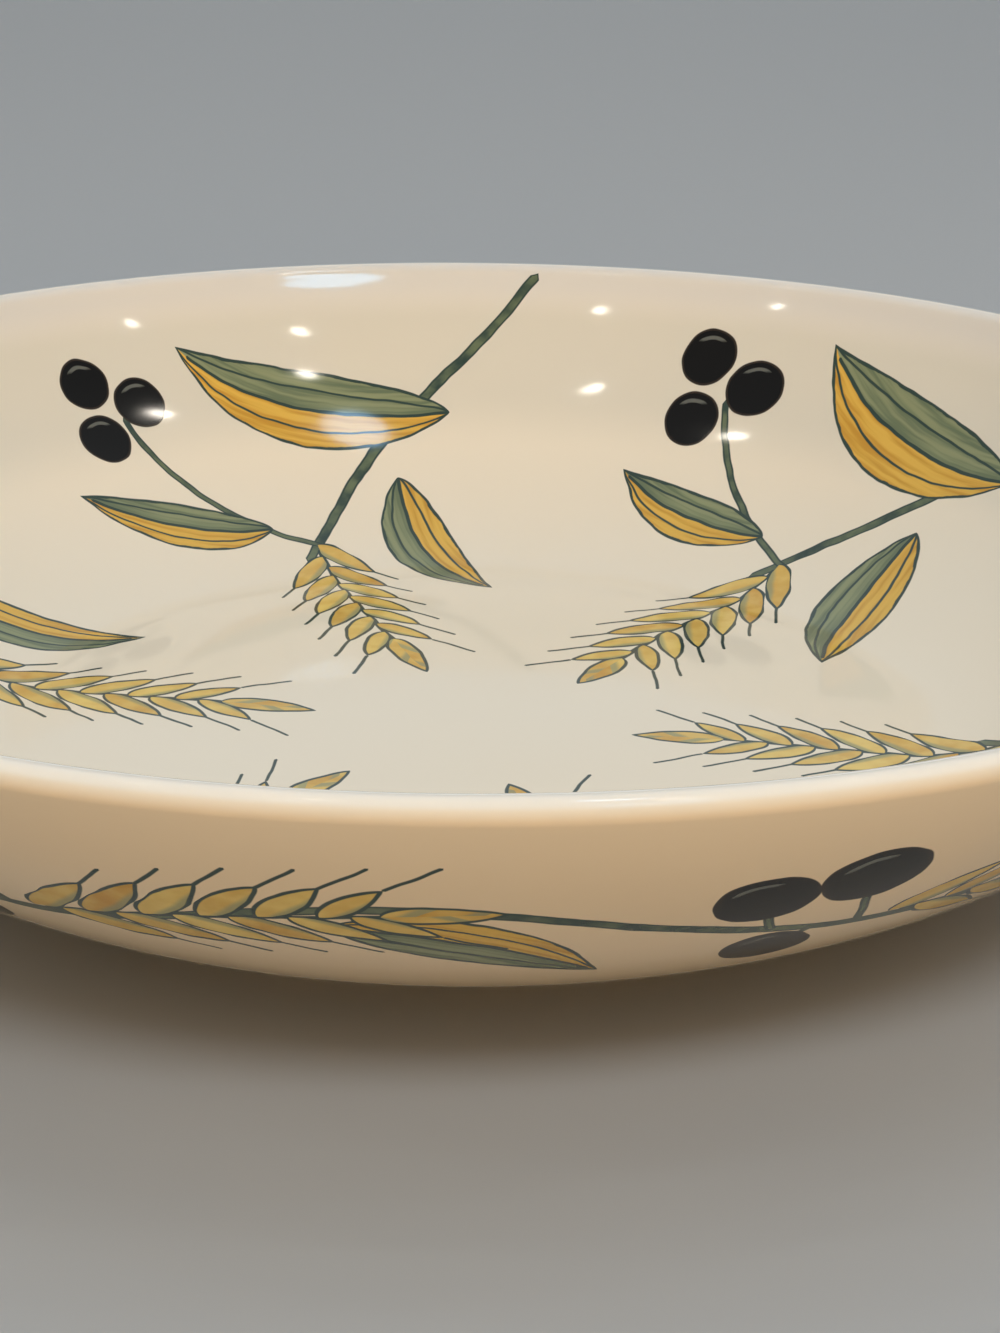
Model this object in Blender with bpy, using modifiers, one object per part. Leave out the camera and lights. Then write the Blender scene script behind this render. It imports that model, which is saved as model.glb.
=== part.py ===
"""A wide, shallow glazed serving bowl, turned about +Z and standing on a foot ring.

Metres, +Z up. The origin is on the table, at the centre of the foot ring.
The clay body is one turned piece. A glaze coat covers its inside, lip and outside down to the
foot, a second one covers the recess under the base, and the foot itself is left as bare clay.
"""

import math

import bpy
from mathutils import Vector
from mathutils.geometry import interpolate_bezier

# Finished sizes, measured over the glaze
RIM_DIAMETER = 0.330
HEIGHT = 0.066
WALL_THICKNESS = 0.0060
WALL_LEAN = math.radians(29)  # of the wall under the lip, out from the vertical
WALL_PULL = 0.030  # how far the wall keeps that lean before it turns under
BASE_PULL = 0.030  # how far the underside stays level on its way out from the foot
FLOOR_DISH = 0.0010  # how much lower the middle of the floor lies than its edge

# Foot ring and the recess inside it
FOOT_DIAMETER = 0.165
FOOT_WIDTH = 0.0080
FOOT_HEIGHT = 0.0055
FOOT_FILLET = 0.0015
FOOT_EDGE = 0.0008  # rounding of the two edges that stand on the table
RECESS_DEPTH = 0.0052

# Glaze coat on the clay
GLAZE_THICKNESS = 0.0005
GLAZE_SEAT_GAP = 0.0003  # clearance between the clay and the coat
BARE_FOOT = 0.0020  # height of the foot that stays free of glaze

# Facets
TURN_STEPS = 60
WALL_POINTS = 10
FLOOR_STEPS = 3
LIP_STEPS = 6
FILLET_STEPS = 2

CLAY_INSET = GLAZE_THICKNESS + GLAZE_SEAT_GAP
FOOT_RADIUS = FOOT_DIAMETER / 2
RECESS_RADIUS = FOOT_RADIUS - FOOT_WIDTH
LIP_RADIUS = WALL_THICKNESS / 2
LIP_CENTRE = Vector((RIM_DIAMETER / 2 - LIP_RADIUS, 0.0, HEIGHT - LIP_RADIUS))
MERGE_DISTANCE = 0.00001


def clear_scene():
    for old in list(bpy.data.objects):
        bpy.data.objects.remove(old)


def point(radius, height):
    return Vector((radius, 0.0, height))


def polar(angle, length=1.0):
    """A step in the profile's plane; angle 0 points away from the axis, a quarter turn points up."""
    return point(length * math.cos(angle), length * math.sin(angle))


def arc(centre, radius, start, end, steps):
    """Points on an arc, both ends included."""
    return [centre + polar(start + (end - start) * i / steps, radius) for i in range(steps + 1)]


def right_of(direction):
    return Vector((direction.z, 0.0, -direction.x))


def moved_right(path, distance):
    """The path moved square to itself, to the right of its run, with its stretches kept parallel."""
    runs = [(b - a).normalized() for a, b in zip(path, path[1:])]
    befores = [runs[0]] + runs
    afters = runs + [runs[-1]]
    moved = []
    for place, before, after in zip(path, befores, afters):
        mean = (right_of(before) + right_of(after)).normalized()
        moved.append(place + mean * distance / mean.dot(right_of(before)))
    return moved


def outer_wall():
    """The outside of the wall, from under the lip down and in to the root of the foot."""
    top = LIP_CENTRE + polar(-WALL_LEAN, LIP_RADIUS)
    down = polar(-math.pi / 2 - WALL_LEAN)
    root = point(FOOT_RADIUS + FOOT_FILLET, FOOT_HEIGHT)
    out = polar(0, BASE_PULL)
    return interpolate_bezier(top, top + down * WALL_PULL, root + out, root, WALL_POINTS)


def dished_floor(edge):
    """The floor from the axis out, level both at the axis and where it runs into the wall's edge."""
    shares = [i / FLOOR_STEPS for i in range(FLOOR_STEPS)]
    return [point(edge.x * share, edge.z - FLOOR_DISH * (1 - share**2) ** 2) for share in shares]


def main_outline():
    """The glazed face in one run: floor, inner wall, lip, outer wall and the side of the foot."""
    outside = outer_wall()
    inside = moved_right(outside, WALL_THICKNESS)
    floor = dished_floor(inside[-1])
    lip = arc(LIP_CENTRE, LIP_RADIUS, math.pi - WALL_LEAN, -WALL_LEAN, LIP_STEPS)
    fillet_centre = outside[-1] - point(0, FOOT_FILLET)
    fillet = arc(fillet_centre, FOOT_FILLET, math.pi / 2, math.pi, FILLET_STEPS)
    return floor + inside[:0:-1] + lip + outside[1:-1] + fillet + [point(FOOT_RADIUS, BARE_FOOT)]


def recess_outline():
    """The glazed face under the base: up the inner side of the foot and in to the axis."""
    fillet_centre = point(RECESS_RADIUS - FOOT_FILLET, RECESS_DEPTH - FOOT_FILLET)
    fillet = arc(fillet_centre, FOOT_FILLET, 0, math.pi / 2, FILLET_STEPS)
    return [point(RECESS_RADIUS, BARE_FOOT)] + fillet + [point(0, RECESS_DEPTH)]


def foot_outline(outer_side, inner_side):
    """The bare foot between its two sides, with a flat face on the table and rounded edges."""
    quarter = math.pi / 2
    outer_edge = arc(point(outer_side - FOOT_EDGE, FOOT_EDGE), FOOT_EDGE, 0, -quarter, FILLET_STEPS)
    inner_edge = arc(point(inner_side + FOOT_EDGE, FOOT_EDGE), FOOT_EDGE, -quarter, -2 * quarter, FILLET_STEPS)
    return outer_edge + inner_edge


def clay_outline():
    """The clay's whole outline: the glazed faces set in by the coat, joined by the bare foot."""
    upper = moved_right(main_outline(), CLAY_INSET)
    under = moved_right(recess_outline(), CLAY_INSET)
    upper[0].x = 0.0
    under[-1].x = 0.0
    return upper + foot_outline(upper[-1].x, under[0].x) + under


def material(name, colour, roughness):
    made = bpy.data.materials.new(name)
    made.use_nodes = True
    shader = made.node_tree.nodes["Principled BSDF"]
    shader.inputs["Base Color"].default_value = (*colour, 1.0)
    shader.inputs["Roughness"].default_value = roughness
    shader.inputs["Metallic"].default_value = 0.0
    return made


def turned(name, outline, finish, collection, parent):
    """An outline turned once about the Z axis."""
    mesh = bpy.data.meshes.new(name)
    edges = [(i, i + 1) for i in range(len(outline) - 1)]
    mesh.from_pydata(outline, edges, [])
    mesh.materials.append(finish)
    made = bpy.data.objects.new(name, mesh)
    collection.objects.link(made)
    made.parent = parent
    screw = made.modifiers.new("turn", "SCREW")
    screw.axis = "Z"
    screw.steps = TURN_STEPS
    screw.render_steps = TURN_STEPS
    screw.use_merge_vertices = True
    screw.merge_threshold = MERGE_DISTANCE
    screw.use_smooth_shade = True
    return made


def coated(name, outline, finish, collection, parent):
    """A glaze coat: the glazed face turned about the axis and given its thickness inwards."""
    made = turned(name, outline, finish, collection, parent)
    coat = made.modifiers.new("coat", "SOLIDIFY")
    coat.thickness = GLAZE_THICKNESS
    coat.offset = -1.0
    coat.use_even_offset = True
    return made


def build():
    clear_scene()
    collection = bpy.data.collections.new("serving_bowl")
    bpy.context.scene.collection.children.link(collection)
    stand = bpy.data.objects.new("serving_bowl_stand", None)
    collection.objects.link(stand)
    clay = material("buff_clay", (0.62, 0.47, 0.33), 0.85)
    glaze = material("cream_glaze", (0.80, 0.71, 0.58), 0.08)
    turned("clay_body", clay_outline(), clay, collection, stand)
    coated("glaze_coat", main_outline(), glaze, collection, stand)
    coated("base_glaze", recess_outline(), glaze, collection, stand)


build()
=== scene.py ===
import math

import bpy
import numpy as np
from mathutils import Matrix, Vector


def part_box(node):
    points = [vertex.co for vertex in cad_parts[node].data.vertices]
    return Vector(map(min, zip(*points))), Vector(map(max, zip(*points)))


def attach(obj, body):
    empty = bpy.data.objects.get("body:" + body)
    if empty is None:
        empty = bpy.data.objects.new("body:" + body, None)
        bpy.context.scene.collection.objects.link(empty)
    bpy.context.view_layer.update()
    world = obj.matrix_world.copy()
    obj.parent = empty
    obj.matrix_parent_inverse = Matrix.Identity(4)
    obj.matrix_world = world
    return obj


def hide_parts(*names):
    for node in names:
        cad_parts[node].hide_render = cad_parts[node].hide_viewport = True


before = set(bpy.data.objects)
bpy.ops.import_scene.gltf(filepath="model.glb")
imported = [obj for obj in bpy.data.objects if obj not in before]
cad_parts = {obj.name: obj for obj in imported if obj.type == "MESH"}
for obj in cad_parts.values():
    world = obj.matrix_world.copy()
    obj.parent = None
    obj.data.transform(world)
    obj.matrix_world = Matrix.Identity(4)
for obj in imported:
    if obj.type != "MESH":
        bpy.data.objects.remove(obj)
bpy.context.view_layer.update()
print("frame loaded:", ", ".join(sorted(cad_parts)))

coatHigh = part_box("glaze_coat")[1]
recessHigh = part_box("base_glaze")[1]

# the bowl's profile, in metres; the overall sizes come from the frame
bowl = {
    "rimRadius": coatHigh.x,
    "height": coatHigh.z,
    "wall": 0.0060,
    "lip": 0.0023,  # rounding of the lip's outer edge
    "lipPulls": (0.0011, 0.0015),  # of the flatter inner edge, at the wall and at the crest
    "lean": math.radians(29),  # of the wall under the lip, out from the vertical
    "wallPull": 0.030,  # how far the wall keeps that lean
    "basePull": 0.030,  # how far the underside stays level
    "floorDish": 0.0010,  # how much lower the middle of the floor lies than its edge
    "footWidth": 0.0080,
    "footHeight": 0.0055,
    "footFillet": 0.0015,
    "footEdge": 0.0008,
    "bareFoot": 0.0020,
    "glaze": 0.0005,
    "seatGap": 0.0003,
    "seam": 0.0030,  # how far under the lip the inner coat ends and the outer one begins
    "bead": 0.00012,  # how far the coat swells along its lower edge
    "beadReach": 0.0008,
    "crease": math.radians(50),  # sharper bends, at the square ends of the coats, stay sharp
}

# steps round the axis and points in each stretch of a profile
counts = {
    "turn": 252,
    "floor": 41,
    "wall": 81,
    "lip": 21,
    "lipInside": 13,
    "bend": 9,  # each fillet, rounded edge and bead
    "footSide": 5,
    "footFace": 8,
    "recessSide": 4,
    "recess": 30,
    "coatGap": 2,  # only every second point where a coat lies on the clay
    "clayGap": 3,  # every third where the clay lies under a coat
    "level": 25,  # the studio's floor
    "sweep": 33,
}
millimetres = 1000  # in a metre
recessRadius = recessHigh.x - bowl["glaze"]
recessDepth = recessHigh.z - bowl["glaze"]
footRadius = recessRadius + bowl["footWidth"]
wallWay = np.array([math.sin(bowl["lean"]), math.cos(bowl["lean"])])  # up along the wall under the lip


# rows of (radius, height) round a centre; an angle of 0 points away from the axis, a quarter turn up
def arcPath(centre, radius, start, end, count):
    angle = np.linspace(start, end, count)
    return np.array(centre) + radius * np.stack([np.cos(angle), np.sin(angle)], 1)


# a straight run between two points, without its first one
def linePath(start, end, count):
    return np.linspace(start, end, count + 1)[1:]


# a cubic curve between two points, drawn out at each end by a pull
def cubicPath(start, startPull, endPull, end, count):
    t = np.linspace(0, 1, count)[:, None]
    pulled = 3 * t * (1 - t) ** 2 * (start + startPull) + 3 * t**2 * (1 - t) * (end + endPull)
    return (1 - t) ** 3 * start + pulled + t**3 * end


# the outer edge of a lip: an arc from its crest to where the wall starts
def lipEdge(rounding):
    centre = np.array([bowl["rimRadius"] - rounding, bowl["height"] - rounding])
    return arcPath(centre, rounding, math.pi / 2, -bowl["lean"], counts["lip"])


# the outside of the wall, from under a lip of a given rounding to the root of the foot
def outerWall(rounding):
    top = lipEdge(rounding)[-1]
    root = np.array([footRadius + bowl["footFillet"], bowl["footHeight"]])
    topPull, rootPull = -bowl["wallPull"] * wallWay, np.array([bowl["basePull"], 0])
    return cubicPath(top, topPull, rootPull, root, counts["wall"])


# unit steps square to a path, to the right of its run
def rightOf(path):
    run = np.gradient(path, axis=0)
    run /= np.linalg.norm(run, axis=1)[:, None]
    return np.stack([run[:, 1], -run[:, 0]], 1)


# a path moved square to itself, to the right of its run
def movedRight(path, distance):
    return path + distance * rightOf(path)


# distance run along a path up to each of its points
def runAlong(path):
    return np.concatenate([[0], np.cumsum(np.linalg.norm(np.diff(path, axis=0), axis=1))])


# the glazed face in two stretches that meet on the outer wall, just under the lip;
# the floor lies dish * (1 - share^2)^2 below its edge, at a share of the way out to it
def glazedFaces():
    outside = outerWall(bowl["lip"])
    inside = movedRight(outerWall(bowl["wall"] / 2), bowl["wall"])[::-1]
    share = np.linspace(0, 1, counts["floor"])[:-1]
    floor = np.stack([share * inside[0, 0], inside[0, 1] - bowl["floorDish"] * (1 - share**2) ** 2], 1)
    lip = lipEdge(bowl["lip"])
    wallPull, crestPull = bowl["lipPulls"]
    pulls = wallPull * wallWay, np.array([-crestPull, 0])
    lipInside = cubicPath(inside[-1], *pulls, lip[0], counts["lipInside"])
    cut = int(np.searchsorted(runAlong(outside), bowl["seam"]))
    filletCentre = outside[-1] - np.array([0, bowl["footFillet"]])
    fillet = arcPath(filletCentre, bowl["footFillet"], math.pi / 2, math.pi, counts["bend"])
    footSide = linePath(fillet[-1], (footRadius, bowl["bareFoot"]), counts["footSide"])
    upper = np.concatenate([floor, inside[:-1], lipInside[:-1], lip, outside[1 : cut + 1]])
    lower = np.concatenate([outside[cut:-1], fillet, footSide])
    return upper, lower


# the glazed face under the base, up the inner side of the foot and in to the axis
def recessFace():
    fillet = bowl["footFillet"]
    start = np.array([[recessRadius, bowl["bareFoot"]]])
    side = linePath(start[0], (recessRadius, recessDepth - fillet), counts["recessSide"])
    bend = arcPath((recessRadius - fillet, recessDepth - fillet), fillet, 0, math.pi / 2, counts["bend"])
    level = linePath(bend[-1], (0, recessDepth), counts["recess"])
    return np.concatenate([start, side[:-1], bend, level])


upperFace, lowerFace = glazedFaces()
baseFace = recessFace()
upperRun = runAlong(upperFace)
lowerRun = runAlong(lowerFace)
crestRun = upperRun[np.argmax(upperFace[:, 1])]


# places in a path from its end back to its start, a gap of points apart
def wayBack(path, gap):
    return np.append(np.arange(len(path) - 1, 0, -gap), 0)


# a closed outline turned about the axis: point = (radius cos a, radius sin a, height), with quads
# between neighbouring rings and a fan at each end that lies on the axis
def turnedMesh(name, loop, onAxis):
    steps = counts["turn"]
    rings = loop[1:-1] if onAxis else loop
    angle = np.arange(steps) * 2 * math.pi / steps
    way = np.stack([np.cos(angle), np.sin(angle), np.zeros(steps)], 1)
    points = (rings[:, None, :1] * way + rings[:, None, 1:] * np.array([0, 0, 1.0])).reshape(-1, 3)
    count = len(rings)
    row = np.arange(count - 1 if onAxis else count)[:, None] * steps
    nextRow = (row + steps) % (count * steps)
    column = np.arange(steps)
    nextColumn = (column + 1) % steps
    corners = [row + column, nextRow + column, nextRow + nextColumn, row + nextColumn]
    faces = np.stack(corners, 2).reshape(-1, 4).tolist()
    if onAxis:
        first = np.full(steps, len(points))
        last = (count - 1) * steps
        points = np.concatenate([points, [[0, 0, loop[0, 1]], [0, 0, loop[-1, 1]]]])
        faces += np.stack([first, column, nextColumn], 1).tolist()
        faces += np.stack([first + 1, last + nextColumn, last + column], 1).tolist()
    mesh = bpy.data.meshes.new(name)
    mesh.from_pydata(points.tolist(), [], faces)
    mesh.polygons.foreach_set("use_smooth", np.ones(len(faces), bool))
    mesh.set_sharp_from_angle(angle=bowl["crease"])
    return mesh


# a mesh as a piece of the visual model, in place of the CAD nodes named
def addPiece(mesh, body, slot, *nodes):
    piece = bpy.data.objects.new(mesh.name, mesh)
    bpy.context.scene.collection.objects.link(piece)
    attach(piece, body)
    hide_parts(*nodes)
    print(piece.name, len(mesh.polygons), "faces")
    return piece


# distance from the crest of the lip in millimetres, below 0 inside the bowl, kept on the points
def addFromLip(mesh, ringValues, poles):
    spread = np.concatenate([np.repeat(ringValues, counts["turn"]), poles]) * millimetres
    layer = mesh.attributes.new("fromLip", "FLOAT", "POINT")
    layer.data.foreach_set("value", spread.astype(np.float32))


# place on the coat laid flat in millimetres: (run cos a, run sin a), kept on the points
def addFlatChart(mesh, ringRuns):
    points = np.empty(len(mesh.vertices) * 3, np.float32)
    mesh.vertices.foreach_get("co", points)
    points = points.reshape(-1, 3)
    run = np.concatenate([np.repeat(ringRuns, counts["turn"]), [0, 0]]) * millimetres
    angle = np.arctan2(points[:, 1], points[:, 0])
    chart = np.stack([run * np.cos(angle), run * np.sin(angle), 0 * run], 1)
    layer = mesh.attributes.new("chart", "FLOAT_VECTOR", "POINT")
    layer.data.foreach_set("vector", chart.astype(np.float32).ravel())


# where each piece's faces lie on the map that its finish is baked to, in shares of the map's side
bakeMap = {
    "middle": 0.5,
    "reach": 0.495,  # of a disc that fills the map
    "cornerMiddle": 0.93,  # small disc in a corner, for the faces that lie on the clay
    "cornerReach": 0.06,
    "cutEdge": 1.05,  # the cut edge between a coat's face and its back lies outside the back
    "margin": 0.005,
    "strips": 3,
    "stripPitch": 0.31,
    "stripHeight": 0.30,
    "hidden": (0.945, 0.05),  # start and height of the strip for the hidden side
    "coatedClay": (0.0, 0.14),  # reach of the clay under the coats
    "bareClay": (0.15, 0.47),
    "recessClay": (0.475, 0.495),
}


# one row of corners after the other, as the map's own coordinates
def addBakeMap(mesh, corners):
    mesh.uv_layers.new(name="OFBake").data.foreach_set("uv", corners.astype(np.float32).ravel())


# the four corners of each quad between neighbouring rows of spots
def quadCorners(spots):
    return np.stack([spots[:-1, :-1], spots[1:, :-1], spots[1:, 1:], spots[:-1, 1:]], 2).reshape(-1, 2)


# map of a piece that closes on the axis: each ring a circle about a disc's centre, pole to pole
def addDiscMap(mesh, discs):
    angle = np.linspace(0, 2 * math.pi, counts["turn"] + 1)
    way = np.stack([np.cos(angle), np.sin(angle)], 1)
    spots = [centre + reach[:, None, None] * way for centre, reach in discs]
    first, last = spots[0], spots[-1]
    spots[0] = spots[0][1:]
    spots[-1] = spots[-1][:-1]
    startFan = np.stack([first[0, :-1], first[1, :-1], first[1, 1:]], 1).reshape(-1, 2)
    endFan = np.stack([last[-1, :-1], last[-2, 1:], last[-2, :-1]], 1).reshape(-1, 2)
    addBakeMap(mesh, np.concatenate([quadCorners(rows) for rows in spots] + [startFan, endFan]))


# map of a band round the axis: its face in equal strips, its hidden side in a thin one above them
def addStripMap(mesh, faceShare, hiddenShare):
    steps, margin, count = counts["turn"], bakeMap["margin"], bakeMap["strips"]
    length = steps // count
    across = np.linspace(margin, 1 - margin, length + 1)
    quads = []
    for number in range(count):
        up = margin + bakeMap["stripPitch"] * number + bakeMap["stripHeight"] * faceShare
        strip = np.stack(np.broadcast_arrays(across, up[:, None]), 2)
        quads.append(quadCorners(strip).reshape(-1, length, 4, 2))
    start, height = bakeMap["hidden"]
    up = start + height * hiddenShare
    hidden = np.broadcast_arrays(np.linspace(margin, 1 - margin, steps + 1), up[:, None])
    corners = [np.concatenate(quads, 1).reshape(-1, 2), quadCorners(np.stack(hidden, 2))]
    addBakeMap(mesh, np.concatenate(corners))


# the big disc for the rings of a face that starts on the axis, the small one for its back
def faceAndBack(faceRun, backRun):
    face = (bakeMap["middle"], bakeMap["reach"] * faceRun / faceRun[-1])
    edge = bakeMap["cutEdge"] * backRun[0]
    back = (bakeMap["cornerMiddle"], bakeMap["cornerReach"] * np.concatenate([[edge], backRun]) / edge)
    return [face, back]


# coat over the floor, the inner wall and the lip: the face, then its own back, moved in by the glaze
def innerGlaze():
    order = wayBack(upperFace, counts["coatGap"])
    back = movedRight(upperFace, bowl["glaze"])[order]
    back[-1, 0] = 0
    backRun = upperRun[order]
    mesh = turnedMesh("inner_glaze", np.concatenate([upperFace, back]), True)
    runs = np.concatenate([upperRun, backRun])[1:-1]
    addFlatChart(mesh, runs)
    addFromLip(mesh, runs - crestRun, [-crestRun, -crestRun])
    addDiscMap(mesh, faceAndBack(upperRun, backRun))
    return addPiece(mesh, "root", "glaze", "glaze_coat")


# coat over the outer wall down to the glaze line, where it swells by bead * e^-(distance / reach)^2
# and rounds over
def outerGlaze():
    swell = bowl["bead"] * np.exp(-(((lowerRun[-1] - lowerRun) / bowl["beadReach"]) ** 2))
    face = lowerFace - rightOf(lowerFace) * swell[:, None]
    order = wayBack(lowerFace, counts["coatGap"])
    back = movedRight(lowerFace, bowl["glaze"])[order]
    gap = np.linalg.norm(face[-1] - back[0])
    roundOff = arcPath((face[-1] + back[0]) / 2, gap / 2, 0, -math.pi, counts["bend"])[1:-1]
    front = np.concatenate([face, roundOff])
    mesh = turnedMesh("outer_glaze", np.concatenate([front, back]), False)
    frontRun = runAlong(front)
    seamRun = upperRun[-1] - crestRun
    addFromLip(mesh, seamRun + np.concatenate([frontRun, lowerRun[order]]), [])
    addStripMap(mesh, frontRun / frontRun[-1], np.linspace(0, 1, len(back) + 2))
    return addPiece(mesh, "root", "glaze", "glaze_coat")


# coat in the recess: its back from the axis out, round its lower edge, and its face in to the axis
def baseGlaze():
    back = movedRight(baseFace, bowl["glaze"])[::-1]
    back[0, 0] = 0
    edgeMiddle = (baseFace[0] + back[-1]) / 2
    roundOff = arcPath(edgeMiddle, bowl["glaze"] / 2, 0, -math.pi, counts["bend"])[1:-1]
    front = np.concatenate([roundOff, baseFace])
    mesh = turnedMesh("recess_glaze", np.concatenate([back, front]), True)
    backRun = runAlong(back)
    frontRun = runAlong(front[::-1])
    face, hidden = faceAndBack(frontRun, backRun[::-1])
    addDiscMap(mesh, [(hidden[0], hidden[1][::-1]), (face[0], face[1][::-1])])
    farFromLip = np.full(len(back) + len(front) - 2, crestRun)
    addFromLip(mesh, farFromLip, [crestRun, crestRun])
    return addPiece(mesh, "root", "glaze", "base_glaze")


# clay inside the coats: their faces moved in by coat and gap, joined by the bare foot
def clayBody():
    inset = bowl["glaze"] + bowl["seatGap"]
    upper = movedRight(np.concatenate([upperFace, lowerFace[1:]]), inset)
    upper = upper[wayBack(upper, counts["clayGap"])[::-1]]
    under = movedRight(baseFace, inset)
    upper[0, 0] = 0
    under[-1, 0] = 0
    edge = bowl["footEdge"]
    outerEdge = arcPath((upper[-1, 0] - edge, edge), edge, 0, -math.pi / 2, counts["bend"])
    innerEdge = arcPath((under[0, 0] + edge, edge), edge, -math.pi / 2, -math.pi, counts["bend"])
    face = linePath(outerEdge[-1], innerEdge[0], counts["footFace"])[:-1]
    foot = np.concatenate([outerEdge, face, innerEdge])
    mesh = turnedMesh("foot_clay", np.concatenate([upper, foot, under]), True)
    bareRun = runAlong(foot)
    bareStart, bareEnd = bakeMap["bareClay"]
    reach = np.concatenate([
        np.linspace(*bakeMap["coatedClay"], len(upper)),
        bareStart + (bareEnd - bareStart) * bareRun / bareRun[-1],
        np.linspace(*bakeMap["recessClay"], len(under)),
    ])
    addDiscMap(mesh, [(bakeMap["middle"], reach)])
    return addPiece(mesh, "root", "clay", "clay_body")


# one shader socket; arithmetic between wires and numbers adds Math nodes
class Wire:
    def __init__(self, socket):
        self.socket = socket

    def node(self, kind, settings, inputs, output=0):
        tree = self.socket.id_data
        made = tree.nodes.new("ShaderNode" + kind)
        for key, value in settings.items():
            setattr(made, key, value)
        for key, value in inputs.items():
            if isinstance(value, Wire):
                tree.links.new(value.socket, made.inputs[key])
            else:
                made.inputs[key].default_value = value
        return Wire(made.outputs[output])

    def math(self, operation, *others):
        return self.node("Math", {"operation": operation}, dict(enumerate((self, *others))))

    def __add__(self, other):
        return self.math("ADD", other)

    __radd__ = __add__

    def __sub__(self, other):
        return self.math("SUBTRACT", other)

    def __rsub__(self, other):
        return self.math("MULTIPLY_ADD", -1.0, other)

    def __mul__(self, other):
        return self.math("MULTIPLY", other)

    __rmul__ = __mul__

    def __truediv__(self, other):
        return self.math("DIVIDE", other)

    def __pow__(self, other):
        return self.math("POWER", other)

    def __abs__(self):
        return self.math("ABSOLUTE")

    # self * factor + offset in one node
    def scaled(self, factor, offset):
        return self.math("MULTIPLY_ADD", factor, offset)

    # 0 at start, 1 at end, an even S between; start may be the higher of the two
    def rise(self, start, end):
        return self.node("MapRange", {"interpolation_type": "SMOOTHSTEP"}, {0: self, 1: start, 2: end})

    def most(self, *others):
        result = self
        for other in others:
            result = result.math("MAXIMUM", other)
        return result

    # this colour with another laid over it where mask is 1
    def under(self, colour, mask):
        value = colour if isinstance(colour, Wire) else (*colour, 1)
        return self.node("Mix", {"data_type": "RGBA"}, {0: mask, 6: self, 7: value}, 2)

    def vector(self, operation, *others, output=0):
        return self.node("VectorMath", {"operation": operation}, dict(enumerate((self, *others))), output)

    def part(self, axis):
        return self.node("SeparateXYZ", {}, {0: self}, axis)

    def attribute(self, name, output):
        return self.node("Attribute", {"attribute_name": name}, {}, output)


# sRGB in 0 to 255 to the linear values that shaders use
def shade(red, green, blue):
    srgb = np.array([red, green, blue]) / 255
    return tuple(np.where(srgb < 0.04045, srgb / 12.92, ((srgb + 0.055) / 1.055) ** 2.4).tolist())


# a new material: its shader, and a wire with the piece's own coordinates
def startMaterial(name):
    made = bpy.data.materials.new(name)
    made.use_nodes = True
    tree = made.node_tree
    place = Wire(tree.nodes.new("ShaderNodeTexCoord").outputs["Object"])
    return made, tree.nodes["Principled BSDF"], place


def feed(shader, socket, wire):
    shader.id_data.links.new(wire.socket, shader.inputs[socket])


# smooth noise between 0 and 1; a larger scale makes it finer
def speckle(place, scale, detail=2.0, output=0):
    return place.node("TexNoise", {}, {"Vector": place, "Scale": scale, "Detail": detail}, output)


# two colours mixed by a wire
def blend(wire, first, second):
    return wire.node("Mix", {"data_type": "RGBA"}, {0: wire, 6: (*first, 1), 7: (*second, 1)}, 2)


# painted decoration, in millimetres on the glazed face
paint = {
    "ochre": shade(226, 184, 82),
    "straw": shade(236, 208, 118),
    "amber": shade(202, 152, 56),
    "sage": shade(142, 150, 114),
    "moss": shade(106, 119, 92),
    "pine": shade(50, 70, 66),
    "ink": shade(6, 6, 7),
    "umber": shade(44, 36, 30),  # where the ink thins at the edge of a berry
    "glint": shade(128, 132, 126),
    "line": 0.75,  # width of an outline
    "soft": 0.12,  # half the width over which an edge fades
    "stemEdge": 0.45,  # width of a stem's dark edge
    "hairs": (0.035, 0.55),  # brush marks per millimetre, along a stroke and across it
    "hairTones": (0.38, 0.66),  # noise at which a mark is palest and darkest
    "sway": (5.0, 16.0, 0.0),  # slow drift of the hand: amount, scale and detail
    "shake": (0.5, 150.0, 1.0),  # quick unevenness of a stroke, likewise
    "insideRepeats": 6,
    "insideTurn": math.radians(10),
    "outsideRepeats": 7,
    "outsideTurn": math.radians(2),
    "outsideRadius": 148.0,  # of the wall where the band is painted
    "outsideDrop": 35.0,  # of the band's middle from the crest of the lip
}


# x and y seen from a place, with the x axis turned by an angle
def seenFrom(x, y, place, degrees):
    c, s = math.cos(math.radians(degrees)), math.sin(math.radians(degrees))
    u = y.scaled(s, x.scaled(c, -place[0] * c - place[1] * s))
    v = y.scaled(c, x.scaled(-s, place[0] * s - place[1] * c))
    return u, v


# how far a point lies past the ends of a stretch from 0 to its length
def pastEnds(u, length):
    return (abs(u - length / 2) - length / 2).math("MAXIMUM", 0.0)


# a leaf's half width at u: share^blunt * (1 - share)^sharp, scaled so that it reaches width / 2
def leafHalf(u, length, width, blunt, sharp):
    most = (blunt / (blunt + sharp)) ** blunt * (sharp / (blunt + sharp)) ** sharp
    share = u.node("Clamp", {}, {0: u / length})
    return share**blunt * (1 - share) ** sharp * (width / 2 / most)


# a bow: sideways shift that is 0 at both ends of a length and rise in its middle
def bowed(u, v, length, rise):
    return v - (u * (length - u)) * (4 * rise / length**2)


# how far inside a stroke of a given width a point lies
def insideStroke(u, v, length, width):
    return width / 2 - abs(v) - pastEnds(u, length)


# 1 inside an edge and 0 outside, softened as by a wet brush
def covers(edge, inset=0.0):
    return edge.rise(inset - paint["soft"], inset + paint["soft"])


# long marks left by the hairs of the brush, along u
def brushed(u, v):
    along, across = paint["hairs"]
    flat = u.node("CombineXYZ", {}, {"X": u * along, "Y": v * across})
    return speckle(flat, 1.0).rise(*paint["hairTones"])


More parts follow.
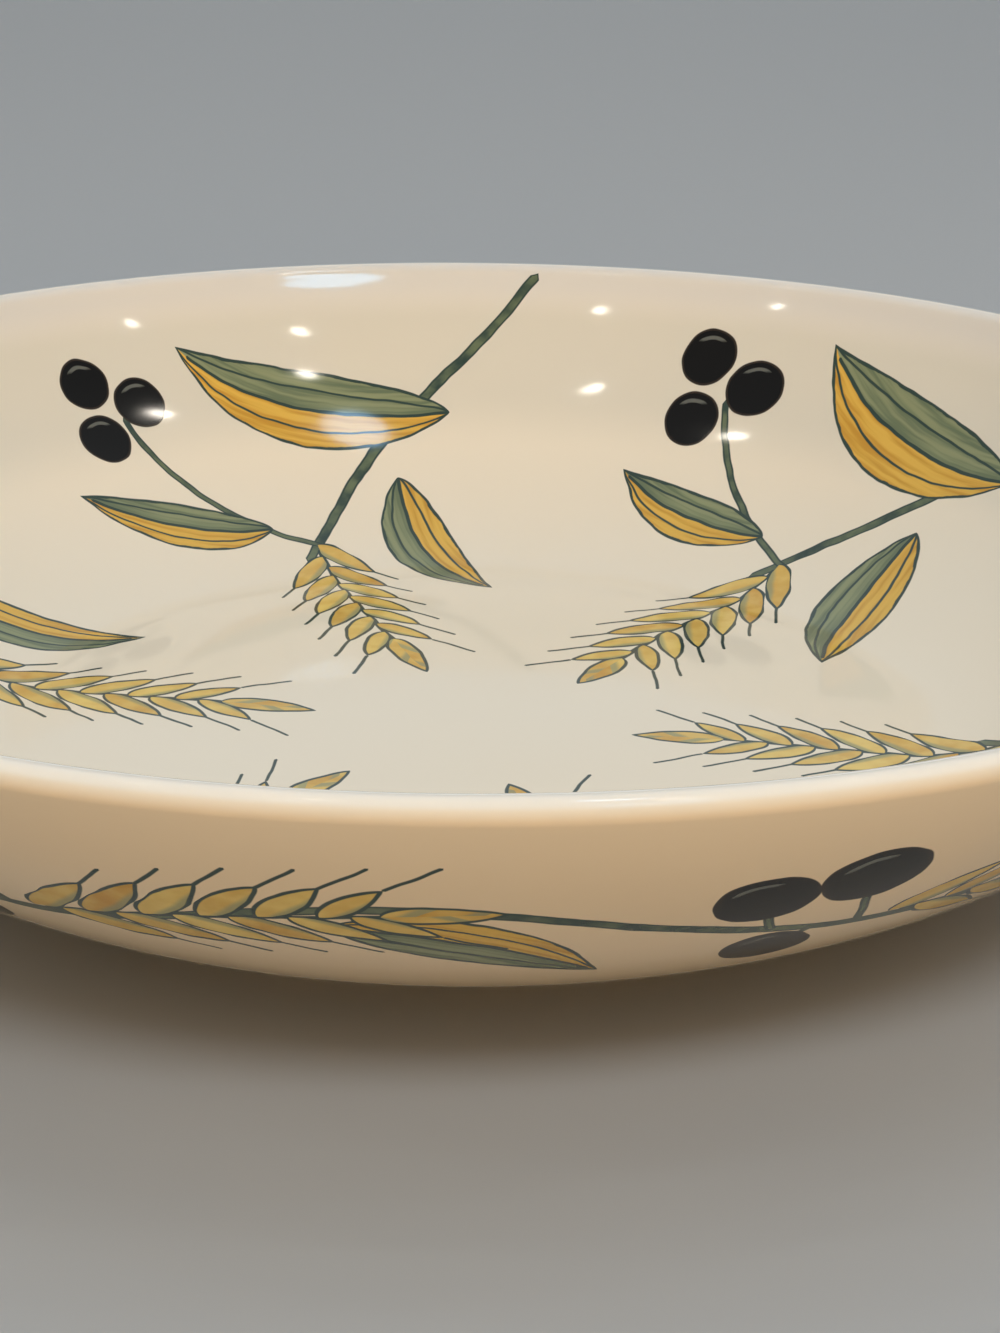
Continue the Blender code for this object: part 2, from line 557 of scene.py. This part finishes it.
ear = {
    "pitch": 9.5,  # between kernels along the rib
    "lean": math.radians(35),
    "length": 18.0,  # of a kernel
    "width": 6.4,
    "shape": (0.5, 0.8),  # how blunt a kernel's root is, and how sharp its tip
    "taper": 0.3,  # share by which the last kernels are smaller
    "tipBack": 0.3,  # of a pitch, by which the end kernel starts before the end of the rib
    "beard": 10.0,
    "beardWidth": 0.7,
    "beardRoot": 0.8,  # share of the kernel where its beard starts
    "rib": 1.3,
    "away": 50.0,  # how far off a kernel counts as where there is none
    "seeds": (7.31, 3.7),  # for each kernel's own tone, by its number and its side
    "ownTone": 0.55,  # share of that tone; the rest follows the wash
    "sageSide": (0.5, 1.7),  # off a kernel's middle, where its sage side starts and is full
    "sageShare": 0.75,
}


# ear of grain: kernels lie along strips that lean out from the rib on both sides
def paintEar(canvas, wash, u, v, grains):
    pitch, long, wide = ear["pitch"], ear["length"], ear["width"]
    c, s = math.cos(ear["lean"]), math.sin(ear["lean"])
    strip = pitch * s
    side = v.math("SIGN")
    out = abs(v)
    shifted = side.scaled(pitch / 4, u)  # the two sides alternate
    across = shifted.scaled(s, out * -c)
    number = (across / strip + 0.5).math("FLOOR")
    offStrip = across - number * strip
    fromRib = out.scaled(s, shifted * c) - number * (pitch * c)
    there = (number + 0.5).math("GREATER_THAN", 0.0) * number.math("LESS_THAN", grains - 0.5)
    absent = there.scaled(-ear["away"], ear["away"])
    taper = 1 - (number / grains) ** 2 * ear["taper"]
    kernelHalf = leafHalf(fromRib / taper, long, wide, *ear["shape"]) * taper
    kernelEdge = kernelHalf - abs(offStrip) - pastEnds(fromRib, long)
    fromTip = u - pitch * (grains - ear["tipBack"])
    tipEdge = leafHalf(fromTip, long, wide, *ear["shape"]) - abs(v) - pastEnds(fromTip, long)
    beard = insideStroke(fromRib - long * ear["beardRoot"], offStrip, ear["beard"], ear["beardWidth"])
    rib = insideStroke(u, v, pitch * grains, ear["rib"])
    lines = (kernelEdge.most(beard) - absent).most(rib, tipEdge)
    numberSeed, sideSeed = ear["seeds"]
    seed = number * numberSeed + side * sideSeed
    tone = seed.node("TexWhiteNoise", {"noise_dimensions": "1D"}, {"W": seed})
    tone = tone * ear["ownTone"] + wash * (1 - ear["ownTone"])
    kernel = blend(tone, paint["straw"], paint["amber"])
    kernel = kernel.under(paint["sage"], offStrip.rise(*ear["sageSide"]) * ear["sageShare"])
    canvas = canvas.under(paint["pine"], covers(lines))
    return canvas.under(kernel, covers((kernelEdge - absent).most(tipEdge), paint["line"]))


blade = {
    "shape": (0.75, 0.95),  # how blunt its root is, and how sharp its tip
    "rib": 0.9,
    "ribShare": 0.94,  # of the blade's length
    "veinHalf": 0.3,
    "veinShare": 0.52,  # of the way from the rib to the edge
    "overlap": 0.2,  # of the fill on the outline
    "ragged": 0.4,  # how unevenly the fill ends
}


# long blade: one half sage, the other ochre, with an outline, a rib and two veins that meet at the ends
def paintBlade(canvas, wash, u, v, length, width):
    half = leafHalf(u, length, width, *blade["shape"])
    edge = half - abs(v) - pastEnds(u, length)
    marks = brushed(u, v)
    body = blend(marks, paint["sage"], paint["moss"])
    body = body.under(blend(marks, paint["ochre"], paint["amber"]), covers(v))
    veins = blade["veinHalf"] - abs(abs(v) - half * blade["veinShare"])
    rib = insideStroke(u, v, length * blade["ribShare"], blade["rib"])
    canvas = canvas.under(paint["pine"], covers(edge))
    canvas = canvas.under(body, covers(edge - wash * blade["ragged"], paint["line"] - blade["overlap"]))
    return canvas.under(paint["pine"], covers(rib.most(veins)) * covers(edge))


# stem: dark at its edges, paler along its middle
def paintStem(canvas, wash, edge):
    canvas = canvas.under(paint["pine"], covers(edge))
    return canvas.under(blend(wash, paint["moss"], paint["pine"]), covers(edge, paint["stemEdge"]))


berry = {
    "edge": 0.55,  # width of the brown edge
    "glintHalf": 0.45,  # half the glint's width
    "glintReach": 0.68,  # share of the radius at which it lies
    "glintEnds": (0.50, 0.62),  # shares of the radius, towards its side, where it starts and is full
    "glintShare": 0.6,
}


# round berries: ink inside a thin brown edge, with a short curved glint on the side that lies at an angle
def paintBerries(canvas, x, y, places, radius, degrees):
    spot = x.node("CombineXYZ", {}, {"X": x, "Y": y})
    way = (math.cos(math.radians(degrees)), math.sin(math.radians(degrees)), 0)
    start, full = berry["glintEnds"]
    for place in places:
        gone = spot.vector("DISTANCE", (*place, 0), output=1)
        canvas = canvas.under(paint["umber"], covers(radius - gone))
        canvas = canvas.under(paint["ink"], covers(radius - gone, berry["edge"]))
        facing = spot.vector("SUBTRACT", (*place, 0)).vector("DOT_PRODUCT", way, output=1)
        curve = covers(berry["glintHalf"] - abs(gone - radius * berry["glintReach"]))
        glint = curve * facing.rise(radius * start, radius * full)
        canvas = canvas.under(paint["glint"], glint * berry["glintShare"])
    return canvas


# one spray of the pinwheel inside: x runs out from the middle of the floor, y across
spray = {
    "strokes": [  # kind, root, degrees, length, width, bow
        ("stem", (160, -76), 127.5, 99, 2.6, -9),
        ("blade", (137, -43), 66, 68, 21, 6),
        ("blade", (122, -26), -171, 50, 16, -4),
        ("stem", (104, -4), 45, 56, 1.9, 5),
        ("blade", (112, 8), 82, 44, 15, 3),
    ],
    "ear": ((103, -1), 180, 6),  # root, degrees, kernels on a side
    "stalks": [],
    "berries": [(149, 31), (137, 42), (152, 46)],
    "berryRadius": 7.0,
    "glintSide": 20,  # degrees
}

# one length of the band outside: x runs round the wall, y up to the lip
band = {
    "wave": 6.0,  # height of the running stem's waves
    "stemHalf": 1.3,
    "slant": 0.95,  # share of a height above the stem that is its distance from it
    "strokes": [("blade", (19, -1), -25, 46, 17, 4)],
    "ear": ((-26, -4), 8, 6),
    "stalks": [
        ("stem", (-48, -4.5), 110, 7, 1.5, 0),
        ("stem", (-33, -6), 107, 11, 1.5, 0),
        ("stem", (-41, -6), -120, 5, 1.5, 0),
    ],
    "berries": [(-52, 7), (-38, 11), (-46, -14)],
    "berryRadius": 7.4,
    "glintSide": 120,
}


# a stem or blade from its root on, at an angle and with a bow
def paintStroke(canvas, wash, x, y, kind, root, degrees, length, width, bow):
    u, v = seenFrom(x, y, root, degrees)
    bent = bowed(u, v, length, bow) if bow else v
    if kind == "stem":
        return paintStem(canvas, wash, insideStroke(u, bent, length, width))
    return paintBlade(canvas, wash, u, bent, length, width)


# strokes, ear, stalks and berries, each laid over the ones before
def paintMotif(canvas, wash, x, y, motif):
    for stroke in motif["strokes"]:
        canvas = paintStroke(canvas, wash, x, y, *stroke)
    root, degrees, grains = motif["ear"]
    canvas = paintEar(canvas, wash, *seenFrom(x, y, root, degrees), grains)
    for stalk in motif["stalks"]:
        canvas = paintStroke(canvas, wash, x, y, *stalk)
    return paintBerries(canvas, x, y, motif["berries"], motif["berryRadius"], motif["glintSide"])


# the hand's drift and shake, added to a place in millimetres
def unsteady(place, spot):
    for amount, scale, detail in (paint["sway"], paint["shake"]):
        drift = speckle(place, scale, detail, "Color")
        spot = spot.vector("ADD", drift.vector("MULTIPLY_ADD", (2 * amount,) * 3, (-amount,) * 3))
    return spot


# the pinwheel: the chart is folded into equal sectors about the middle of the floor
def decorateInside(canvas, wash, place):
    spot = unsteady(place, place.attribute("chart", "Vector"))
    half = math.pi / paint["insideRepeats"]
    turn = spot.part("Y").math("ARCTAN2", spot.part("X")) + paint["insideTurn"]
    folded = turn.math("WRAP", half, -half)
    reach = spot.vector("LENGTH", output=1)
    return paintMotif(canvas, wash, reach * folded.math("COSINE"), reach * folded.math("SINE"), spray)


# the band: the wall is unrolled and folded into equal lengths, along which a stem runs in sine waves
def decorateOutside(canvas, wash, place):
    turn = place.part("Y").math("ARCTAN2", place.part("X"))
    x = (turn + paint["outsideTurn"]) * paint["outsideRadius"]
    y = paint["outsideDrop"] - place.attribute("fromLip", "Fac")
    spot = unsteady(place, x.node("CombineXYZ", {}, {"X": x, "Y": y}))
    length = 2 * math.pi * paint["outsideRadius"] / paint["outsideRepeats"]
    x, y = spot.part("X").math("WRAP", length / 2, -length / 2), spot.part("Y")
    wave = (x * (2 * math.pi / length)).math("SINE") * band["wave"]
    canvas = paintStem(canvas, wash, band["stemHalf"] - abs(y - wave) * band["slant"])
    return paintMotif(canvas, wash, x, y, band)


# each pair below gives the distances from the crest of the lip, in millimetres and below 0 inside,
# between which a colour comes in or goes out
glazeLook = {
    "cream": shade(241, 233, 216),
    "warm": shade(241, 217, 180),  # painted warm shade on the outer wall, which lies in shade
    "warmIn": (1.8, 4.5),
    "warmOut": (12.0, 40.0),
    "warmShares": (0.98, 0.15, 0.06),  # gained on the way in, lost on the way out and lost all over
    "wallShade": shade(212, 210, 199),  # painted shade, a greyer band down the steep inner wall
    "wallShadeIn": (-4.0, -16.0),
    "wallShadeOut": (-52.0, -34.0),
    "wallShadeShare": 0.6,
    "innerRimShade": shade(228, 224, 217),  # painted shade, cooler and a little darker just inside the lip
    "innerRimShadeIn": (-16.0, -6.0),
    "innerRimShadeOut": (2.0, 0.0),
    "pale": shade(243, 239, 229),  # painted highlight, a paler band along the crest of the lip
    "paleMiddle": 0.6,
    "paleOut": (2.0, 1.0),  # to either side of that middle
    "cloudScale": 14.0,  # slow change of colour
    "cloudShare": 0.3,
    "washScale": 170.0,  # fine unevenness of the glaze and of the paint
    "washTones": (0.3, 0.7),
    "specular": 0.3,
    "roughness": 0.055,
    "washRoughness": 0.02,
    "paintRoughness": 0.012,  # more on painted strokes
    "paintTold": (0.03, 0.15),  # difference from the bare colour at which paint starts and is full
    "waveScale": 22.0,
    "wave": 0.00035,  # height of the slow waves in the coat
}


# glossy cream glaze, with painted shade on its walls and a painted highlight along the lip;
# decorate(canvas, wash, place) lays the painting over it
def glazeMaterial(name, decorate):
    made, shader, place = startMaterial(name)
    wash = speckle(place, glazeLook["washScale"], 3.0).rise(*glazeLook["washTones"])
    fromLip = place.attribute("fromLip", "Fac")
    gained, lost, lostAllOver = glazeLook["warmShares"]
    # painted shade: the outer wall turns warmer and darker under the lip
    outsideShade = fromLip.rise(*glazeLook["warmIn"]) * gained
    outsideShade = outsideShade - fromLip.rise(*glazeLook["warmOut"]) * lost - lostAllOver
    clouds = speckle(place, glazeLook["cloudScale"])
    bare = blend(clouds.scaled(glazeLook["cloudShare"], outsideShade), glazeLook["cream"], glazeLook["warm"])
    # painted shade: a greyer band down the steep inner wall
    wallShade = fromLip.rise(*glazeLook["wallShadeIn"]) * fromLip.rise(*glazeLook["wallShadeOut"])
    bare = bare.under(glazeLook["wallShade"], wallShade * glazeLook["wallShadeShare"])
    # painted shade: cooler and a little darker just inside the lip
    innerRimShade = fromLip.rise(*glazeLook["innerRimShadeIn"]) * fromLip.rise(*glazeLook["innerRimShadeOut"])
    bare = bare.under(glazeLook["innerRimShade"], innerRimShade)
    # painted highlight: a paler band along the crest of the lip
    pale = abs(fromLip - glazeLook["paleMiddle"]).rise(*glazeLook["paleOut"])
    bare = bare.under(glazeLook["pale"], pale)
    canvas = decorate(bare, wash, place) if decorate else bare
    painted = canvas.vector("DISTANCE", bare, output=1).rise(*glazeLook["paintTold"])
    roughness = wash.scaled(glazeLook["washRoughness"], glazeLook["roughness"])
    slow = speckle(place, glazeLook["waveScale"], 1.0)
    bump = slow.node("Bump", {}, {"Strength": 1.0, "Distance": glazeLook["wave"], "Height": slow})
    feed(shader, "Base Color", canvas)
    feed(shader, "Roughness", roughness + painted * glazeLook["paintRoughness"])
    feed(shader, "Normal", bump)
    shader.inputs["Specular IOR Level"].default_value = glazeLook["specular"]
    return made


clayLook = {
    "buff": shade(205, 176, 140),
    "grit": shade(160, 124, 92),
    "gritScale": 900.0,
    "gritTones": (0.45, 0.7),
    "ringPitch": 0.0011,  # of the lines left by turning
    "ringDrift": 2.0,  # how far the grit pushes a line about
    "ringTones": (0.2, 1.0),
    "ringShare": 0.35,
    "worn": shade(182, 160, 132),  # the face that rubs on the table
    "wornHeight": 0.0003,
    "wornScale": 120.0,
    "wornTones": (0.3, 0.7),
    "wornShare": 0.6,
    "roughness": 0.85,
    "wornRoughness": -0.2,
    "reliefRings": 0.25,  # their height beside the grit's
    "relief": 0.0002,
    "reliefStrength": 0.6,
}


# bare fired clay: fine grit and the rings left by turning, as a sine of the distance from the axis
def clayMaterial(name):
    made, shader, place = startMaterial(name)
    grit = speckle(place, clayLook["gritScale"], 4.0)
    reach = place.vector("MULTIPLY", (1, 1, 0)).vector("LENGTH", output=1)
    rings = reach * (2 * math.pi / clayLook["ringPitch"]) + grit * clayLook["ringDrift"]
    rings = rings.math("SINE")
    rubbed = speckle(place, clayLook["wornScale"]).rise(*clayLook["wornTones"])
    rubbed = place.part("Z").rise(clayLook["wornHeight"], 0.0) * rubbed
    canvas = blend(grit.rise(*clayLook["gritTones"]), clayLook["buff"], clayLook["grit"])
    canvas = canvas.under(clayLook["grit"], rings.rise(*clayLook["ringTones"]) * clayLook["ringShare"])
    canvas = canvas.under(clayLook["worn"], rubbed * clayLook["wornShare"])
    relief = {"Strength": clayLook["reliefStrength"], "Distance": clayLook["relief"]}
    bump = grit.node("Bump", {}, {**relief, "Height": rings * clayLook["reliefRings"] + grit})
    feed(shader, "Base Color", canvas)
    feed(shader, "Roughness", rubbed.scaled(clayLook["wornRoughness"], clayLook["roughness"]))
    feed(shader, "Normal", bump)
    return made


innerGlaze().data.materials.append(glazeMaterial("painted_glaze_inside", decorateInside))
outerGlaze().data.materials.append(glazeMaterial("painted_glaze_outside", decorateOutside))
baseGlaze().data.materials.append(glazeMaterial("plain_glaze", None))
clayBody().data.materials.append(clayMaterial("bare_clay"))
print("pieces made and painted")

studio = {
    "flatRadius": 6.0,
    "sweep": 3.0,  # radius of the bend up to the backdrop
    "thickness": 0.1,
    "floorColour": (0.46, 0.49, 0.52),
    "floorRoughness": 0.6,
    "floorSpecular": 0.1,
    "horizon": 0.12,  # strength of the surroundings
    "zenith": 0.47,
    "warmFront": (1.0, 0.90, 0.78),
    "coolBack": (0.90, 0.96, 1.0),
    "frontRange": (0.6, -0.8),  # Y of a direction, from all cool to all warm
    "glow": 0.50,  # soft brightness behind the bowl
    "glowWay": (0.1, 0.86, 0.50),
    "glowRange": (0.4, 1.0),  # cosine to that way, from none to all of it
    "aim": (0, 0, 0.03),  # where the lamps point
}


# plain floor that bends up all round: flat, then a quarter circle, closed below
def addFloor():
    flat, sweep, thickness = studio["flatRadius"], studio["sweep"], studio["thickness"]
    level = np.linspace((0, 0), (flat, 0), counts["level"])[:-1]
    bend = arcPath((flat, sweep), sweep, -math.pi / 2, 0, counts["sweep"])
    edge = flat + sweep + thickness
    under = np.array([[edge, sweep], [edge, -thickness], [0, -thickness]])
    mesh = turnedMesh("pale_floor", np.concatenate([level, bend, under]), True)
    floor = bpy.data.objects.new("pale_floor", mesh)
    bpy.context.scene.collection.objects.link(floor)
    made, shader, _ = startMaterial("pale_floor")
    shader.inputs["Base Color"].default_value = (*studio["floorColour"], 1)
    shader.inputs["Roughness"].default_value = studio["floorRoughness"]
    shader.inputs["Specular IOR Level"].default_value = studio["floorSpecular"]
    mesh.materials.append(made)


# soft surroundings: brighter overhead than at the horizon, warm in front and cool behind
def addWorld():
    world = bpy.data.worlds.new("studio")
    bpy.context.scene.world = world
    world.use_nodes = True
    tree = world.node_tree
    way = Wire(tree.nodes.new("ShaderNodeTexCoord").outputs["Generated"])
    tint = blend(way.part("Y").rise(*studio["frontRange"]), studio["coolBack"], studio["warmFront"])
    over = way.part("Z").rise(0.0, 1.0).scaled(studio["zenith"] - studio["horizon"], studio["horizon"])
    facing = way.vector("DOT_PRODUCT", studio["glowWay"], output=1)
    behind = facing.rise(*studio["glowRange"]) * studio["glow"]
    feed(tree.nodes["Background"], "Color", tint)
    feed(tree.nodes["Background"], "Strength", over + behind)


# an oval area lamp that faces the bowl and is unseen itself; lights says whether it lights what is
# matt, mirrored whether it shows in what is glossy
def addLamp(name, place, size, power, colour, lights=True, mirrored=True, spread=math.pi):
    lamp = bpy.data.lights.new(name, "AREA")
    lamp.shape = "ELLIPSE"
    lamp.size, lamp.size_y = size
    lamp.energy = power
    lamp.color = colour
    lamp.spread = spread
    holder = bpy.data.objects.new(name, lamp)
    holder.location = place
    holder.rotation_euler = (Vector(studio["aim"]) - Vector(place)).to_track_quat("-Z", "Y").to_euler()
    holder.visible_camera = False
    holder.visible_diffuse = lights
    holder.visible_glossy = mirrored
    bpy.context.scene.collection.objects.link(holder)


# small ceiling lamps, whose reflections are the round sparks on the far wall
sparks = {
    "places": [
        (1.03, -0.33), (0.66, 0.14), (0.48, -0.49), (0.39, -0.22),
        (-0.27, -0.18), (-0.41, -0.72), (-0.51, 0.18), (-1.09, -0.62),
    ],
    "height": 1.5,
    "look": {"size": (0.035, 0.06), "power": 0.36, "colour": (1.0, 0.92, 0.80)},
}
lamps = {
    "skylight": {
        "place": (0.23, 0.06, 1.5), "size": (0.20, 0.13), "power": 1.15,
        "colour": (0.42, 0.70, 1.0), "lights": False,
    },
    "window": {
        "place": (0.52, -1.05, 1.5), "size": (0.40, 0.12), "power": 1.9,
        "colour": (0.26, 0.65, 1.0), "lights": False,
    },
    "back_panel": {  # brightens the upper edge of the lip
        "place": (0.2, 4.0, 0.42), "size": (3.2, 0.64), "power": 6.0,
        "colour": (0.85, 0.94, 1.0), "lights": False,
    },
    "soft_key": {
        "place": (0.25, -1.35, 1.45), "size": (0.9, 0.4), "power": 11.8,
        "colour": (1.0, 1.0, 0.98), "mirrored": False,
    },
    "soft_front": {
        "place": (0.8, -6.0, 1.1), "size": (2.4, 1.4), "power": 2.8,
        "colour": (1.0, 0.64, 0.30), "mirrored": False,
        "spread": math.radians(24),  # keeps its light off the floor
    },
}
for number, (x, y) in enumerate(sparks["places"]):
    addLamp(f"spark_{number}", (x, y, sparks["height"]), **sparks["look"])
for name, settings in lamps.items():
    addLamp(name, **settings)
addFloor()
addWorld()

# the photograph's camera, found from the rim and the lower outline
shot = {
    "place": (0.0, -0.4612, 0.1950),
    "pitch": math.radians(20.498),  # downwards
    "yaw": math.radians(0.770),  # towards +X
    "roll": math.radians(0.608),
    "focalPixels": 2600,
    "imageHeight": 1333,
    "sensor": 36.0,
}


# rolled about its own axis, then pitched, turned and moved to its place
def addCamera():
    lens = bpy.data.cameras.new("camera")
    lens.sensor_width = shot["sensor"]
    lens.lens = shot["focalPixels"] / shot["imageHeight"] * shot["sensor"]
    camera = bpy.data.objects.new("camera", lens)
    bpy.context.scene.collection.objects.link(camera)
    turn = Matrix.Rotation(-shot["yaw"], 4, "Z") @ Matrix.Rotation(math.pi / 2 - shot["pitch"], 4, "X")
    camera.matrix_world = Matrix.Translation(shot["place"]) @ turn @ Matrix.Rotation(shot["roll"], 4, "Z")
    bpy.context.scene.camera = camera


addCamera()
bpy.context.scene.view_settings.view_transform = "Standard"

print("studio set")
